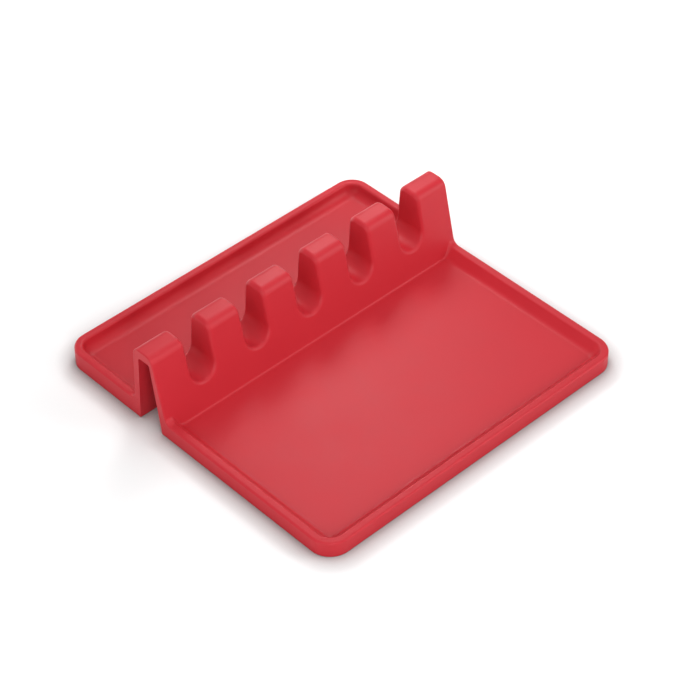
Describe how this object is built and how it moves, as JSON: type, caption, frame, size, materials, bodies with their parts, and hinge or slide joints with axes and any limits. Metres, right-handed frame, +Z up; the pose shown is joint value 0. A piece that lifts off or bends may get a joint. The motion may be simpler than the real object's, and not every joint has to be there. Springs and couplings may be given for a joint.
{
  "type": "spoon rest",
  "caption": "Silicone spoon rest: a wide drip tray and a narrow rear tray joined by a hollow bridge whose row of round-bottomed notches holds utensil handles.",
  "frame": {"origin": "on the table, under the middle of the outline", "axes": "+X along the bridge, +Y from the front tray to the rear tray, +Z up"},
  "size_m": [0.2, 0.194, 0.046],
  "materials": {
    "silicone": "satin moulded silicone"
  },
  "bodies": {
    "root": {"front_tray": "silicone", "rear_tray": "silicone", "utensil_bridge": "silicone"}
  },
  "joints": []
}
